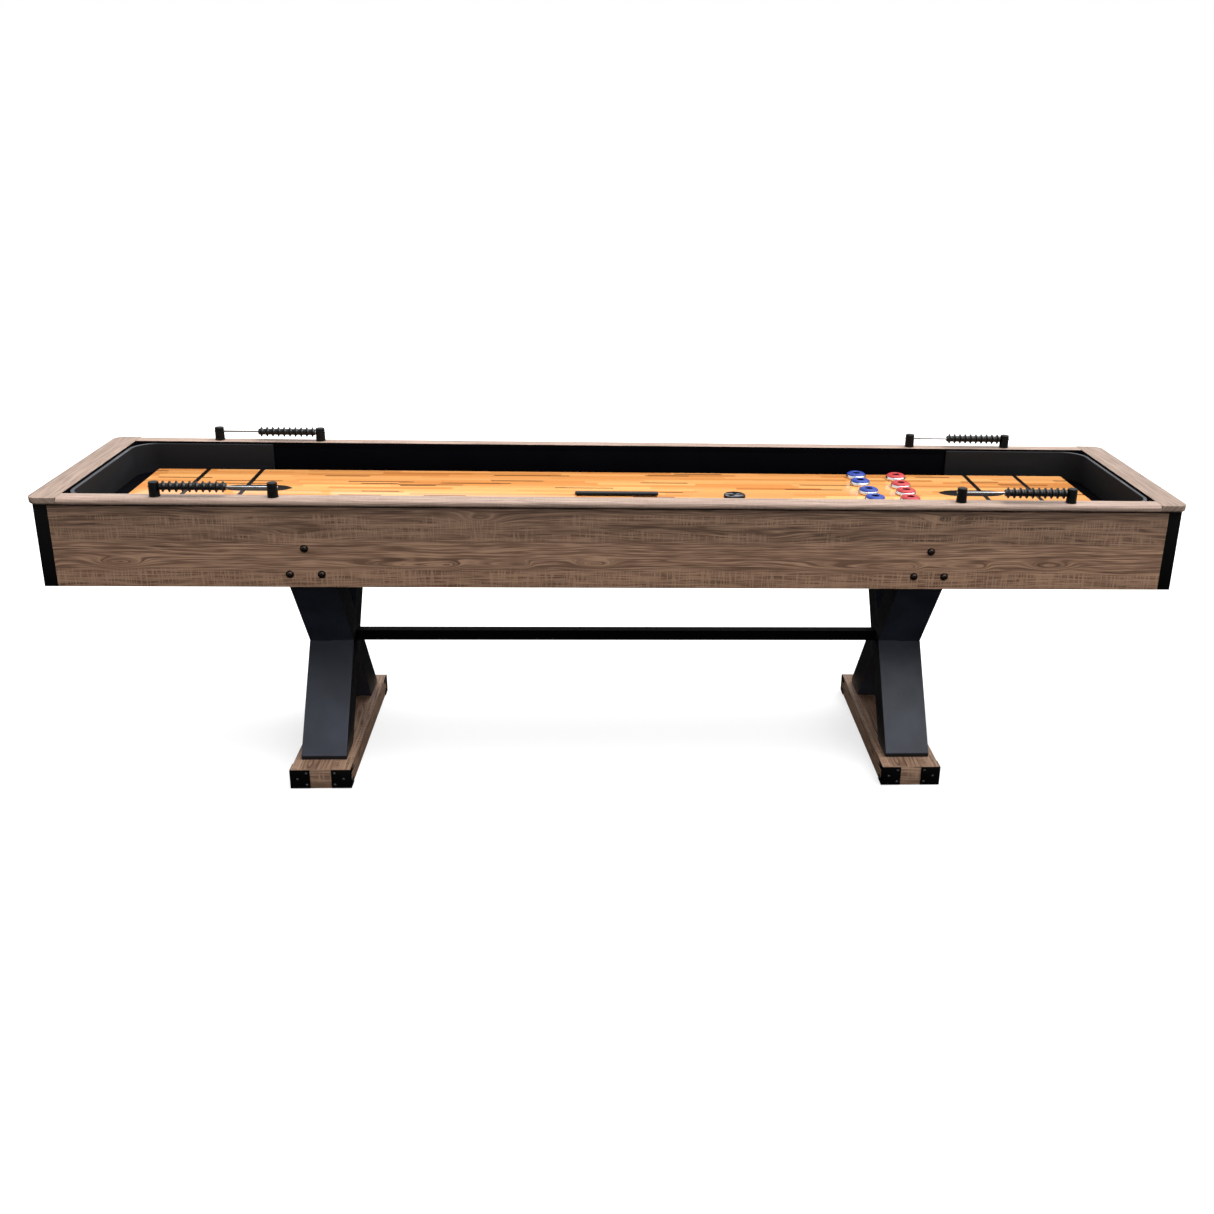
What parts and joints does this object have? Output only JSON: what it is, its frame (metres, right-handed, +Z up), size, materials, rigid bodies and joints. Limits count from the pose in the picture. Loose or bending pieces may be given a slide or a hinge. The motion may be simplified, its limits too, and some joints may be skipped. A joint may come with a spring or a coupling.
{
  "type": "shuffleboard table",
  "caption": "Long shuffleboard table with a sunken glossy playfield, bumper-lined ends, rail-top bead scorers, pucks, and X-shaped trestle legs joined by a stretcher.",
  "frame": {"origin": "on the floor, under the middle of the table", "axes": "+X along the table to the right as seen from the front, +Y across it towards the back, +Z up"},
  "size_m": [2.743, 0.59, 0.799],
  "materials": {
    "driftwood": "grey-brown driftwood laminate with horizontal grain, knots and fine cross saw marks",
    "rail_wood": "paler pinkish driftwood laminate, satin",
    "black_paint": "black satin paint on wood",
    "black_board": "flat black laminated board",
    "maple": "glossy clear-coated butcher-block staves",
    "liner": "charcoal bumper strip with a worn grey top edge",
    "black_steel": "black powder coat",
    "black_plastic": "moulded black plastic, soft sheen",
    "rod_steel": "drawn steel rod",
    "puck_blue": "blue cap on a chromed steel weight",
    "puck_red": "red cap on a chromed steel weight",
    "tin": "black enamelled tin"
  },
  "bodies": {
    "root": {"rail_front": "rail_wood", "rail_back": "rail_wood", "rail_left_end": "rail_wood", "rail_right_end": "rail_wood", "apron_front": "driftwood", "apron_back": "driftwood", "apron_left_end": "driftwood", "apron_right_end": "driftwood", "corner_post_front_left": "black_paint", "corner_post_front_right": "black_paint", "corner_post_back_left": "black_paint", "corner_post_back_right": "black_paint", "gutter_floor": "black_board", "playfield": "maple", "end_liner_left": "liner", "end_liner_right": "liner", "leg_left_plank_rising_back": "black_paint", "leg_left_plank_rising_front": "black_paint", "leg_top_beam_left": "black_board", "foot_beam_left": "driftwood", "leg_right_plank_rising_back": "black_paint", "leg_right_plank_rising_front": "black_paint", "leg_top_beam_right": "black_board", "foot_beam_right": "driftwood", "foot_bracket_left_front_inner": "black_steel", "foot_bracket_left_front_outer": "black_steel", "foot_bracket_left_back_inner": "black_steel", "foot_bracket_left_back_outer": "black_steel", "foot_bracket_right_front_inner": "black_steel", "foot_bracket_right_front_outer": "black_steel", "foot_bracket_right_back_inner": "black_steel", "foot_bracket_right_back_outer": "black_steel", "stretcher": "black_paint", "scorer_post_front_left_left": "black_plastic", "scorer_post_front_left_right": "black_plastic", "scorer_rod_front_left": "rod_steel", "scorer_post_front_right_left": "black_plastic", "scorer_post_front_right_right": "black_plastic", "scorer_rod_front_right": "rod_steel", "scorer_post_back_left_left": "black_plastic", "scorer_post_back_left_right": "black_plastic", "scorer_rod_back_left": "rod_steel", "scorer_post_back_right_left": "black_plastic", "scorer_post_back_right_right": "black_plastic", "scorer_rod_back_right": "rod_steel"},
    "scorer_beads_front_left": {"scorer_beads_front_left": "black_plastic"},
    "scorer_beads_front_right": {"scorer_beads_front_right": "black_plastic"},
    "scorer_beads_back_left": {"scorer_beads_back_left": "black_plastic"},
    "scorer_beads_back_right": {"scorer_beads_back_right": "black_plastic"},
    "puck_blue_1": {"puck_blue_1": "puck_blue"},
    "puck_blue_2": {"puck_blue_2": "puck_blue"},
    "puck_blue_3": {"puck_blue_3": "puck_blue"},
    "puck_blue_4": {"puck_blue_4": "puck_blue"},
    "puck_red_1": {"puck_red_1": "puck_red"},
    "puck_red_2": {"puck_red_2": "puck_red"},
    "puck_red_3": {"puck_red_3": "puck_red"},
    "puck_red_4": {"puck_red_4": "puck_red"},
    "brush": {"brush": "black_plastic"},
    "wax_tin": {"wax_tin": "tin"}
  },
  "joints": [
    {"name": "scorer_beads_front_left_slide", "type": "slide", "parent": "root", "child": "scorer_beads_front_left", "axis": [1, 0, 0], "range_m": [0, 0.0914]},
    {"name": "scorer_beads_front_right_slide", "type": "slide", "parent": "root", "child": "scorer_beads_front_right", "axis": [1, 0, 0], "range_m": [-0.0914, 0]},
    {"name": "scorer_beads_back_left_slide", "type": "slide", "parent": "root", "child": "scorer_beads_back_left", "axis": [1, 0, 0], "range_m": [-0.0914, 0]},
    {"name": "scorer_beads_back_right_slide", "type": "slide", "parent": "root", "child": "scorer_beads_back_right", "axis": [1, 0, 0], "range_m": [-0.0914, 0]},
    {"name": "puck_blue_1_slide", "type": "slide", "parent": "root", "child": "puck_blue_1", "axis": [1, 0, 0], "range_m": [-1.853, 0]},
    {"name": "puck_blue_2_slide", "type": "slide", "parent": "root", "child": "puck_blue_2", "axis": [1, 0, 0], "range_m": [-1.851, 0]},
    {"name": "puck_blue_3_slide", "type": "slide", "parent": "root", "child": "puck_blue_3", "axis": [1, 0, 0], "range_m": [-0.5, 0]},
    {"name": "puck_blue_4_slide", "type": "slide", "parent": "root", "child": "puck_blue_4", "axis": [1, 0, 0], "range_m": [-0.3, 0]},
    {"name": "puck_red_1_slide", "type": "slide", "parent": "root", "child": "puck_red_1", "axis": [1, 0, 0], "range_m": [0, 0.45]},
    {"name": "puck_red_2_slide", "type": "slide", "parent": "root", "child": "puck_red_2", "axis": [1, 0, 0], "range_m": [0, 0.454]},
    {"name": "puck_red_3_slide", "type": "slide", "parent": "root", "child": "puck_red_3", "axis": [1, 0, 0], "range_m": [0, 0.455]},
    {"name": "puck_red_4_slide", "type": "slide", "parent": "root", "child": "puck_red_4", "axis": [1, 0, 0], "range_m": [0, 0.459]},
    {"name": "brush_lift", "type": "slide", "parent": "root", "child": "brush", "axis": [0, 0, 1], "range_m": [0, 0.15]},
    {"name": "wax_tin_lift", "type": "slide", "parent": "root", "child": "wax_tin", "axis": [0, 0, 1], "range_m": [0, 0.15]}
  ]
}
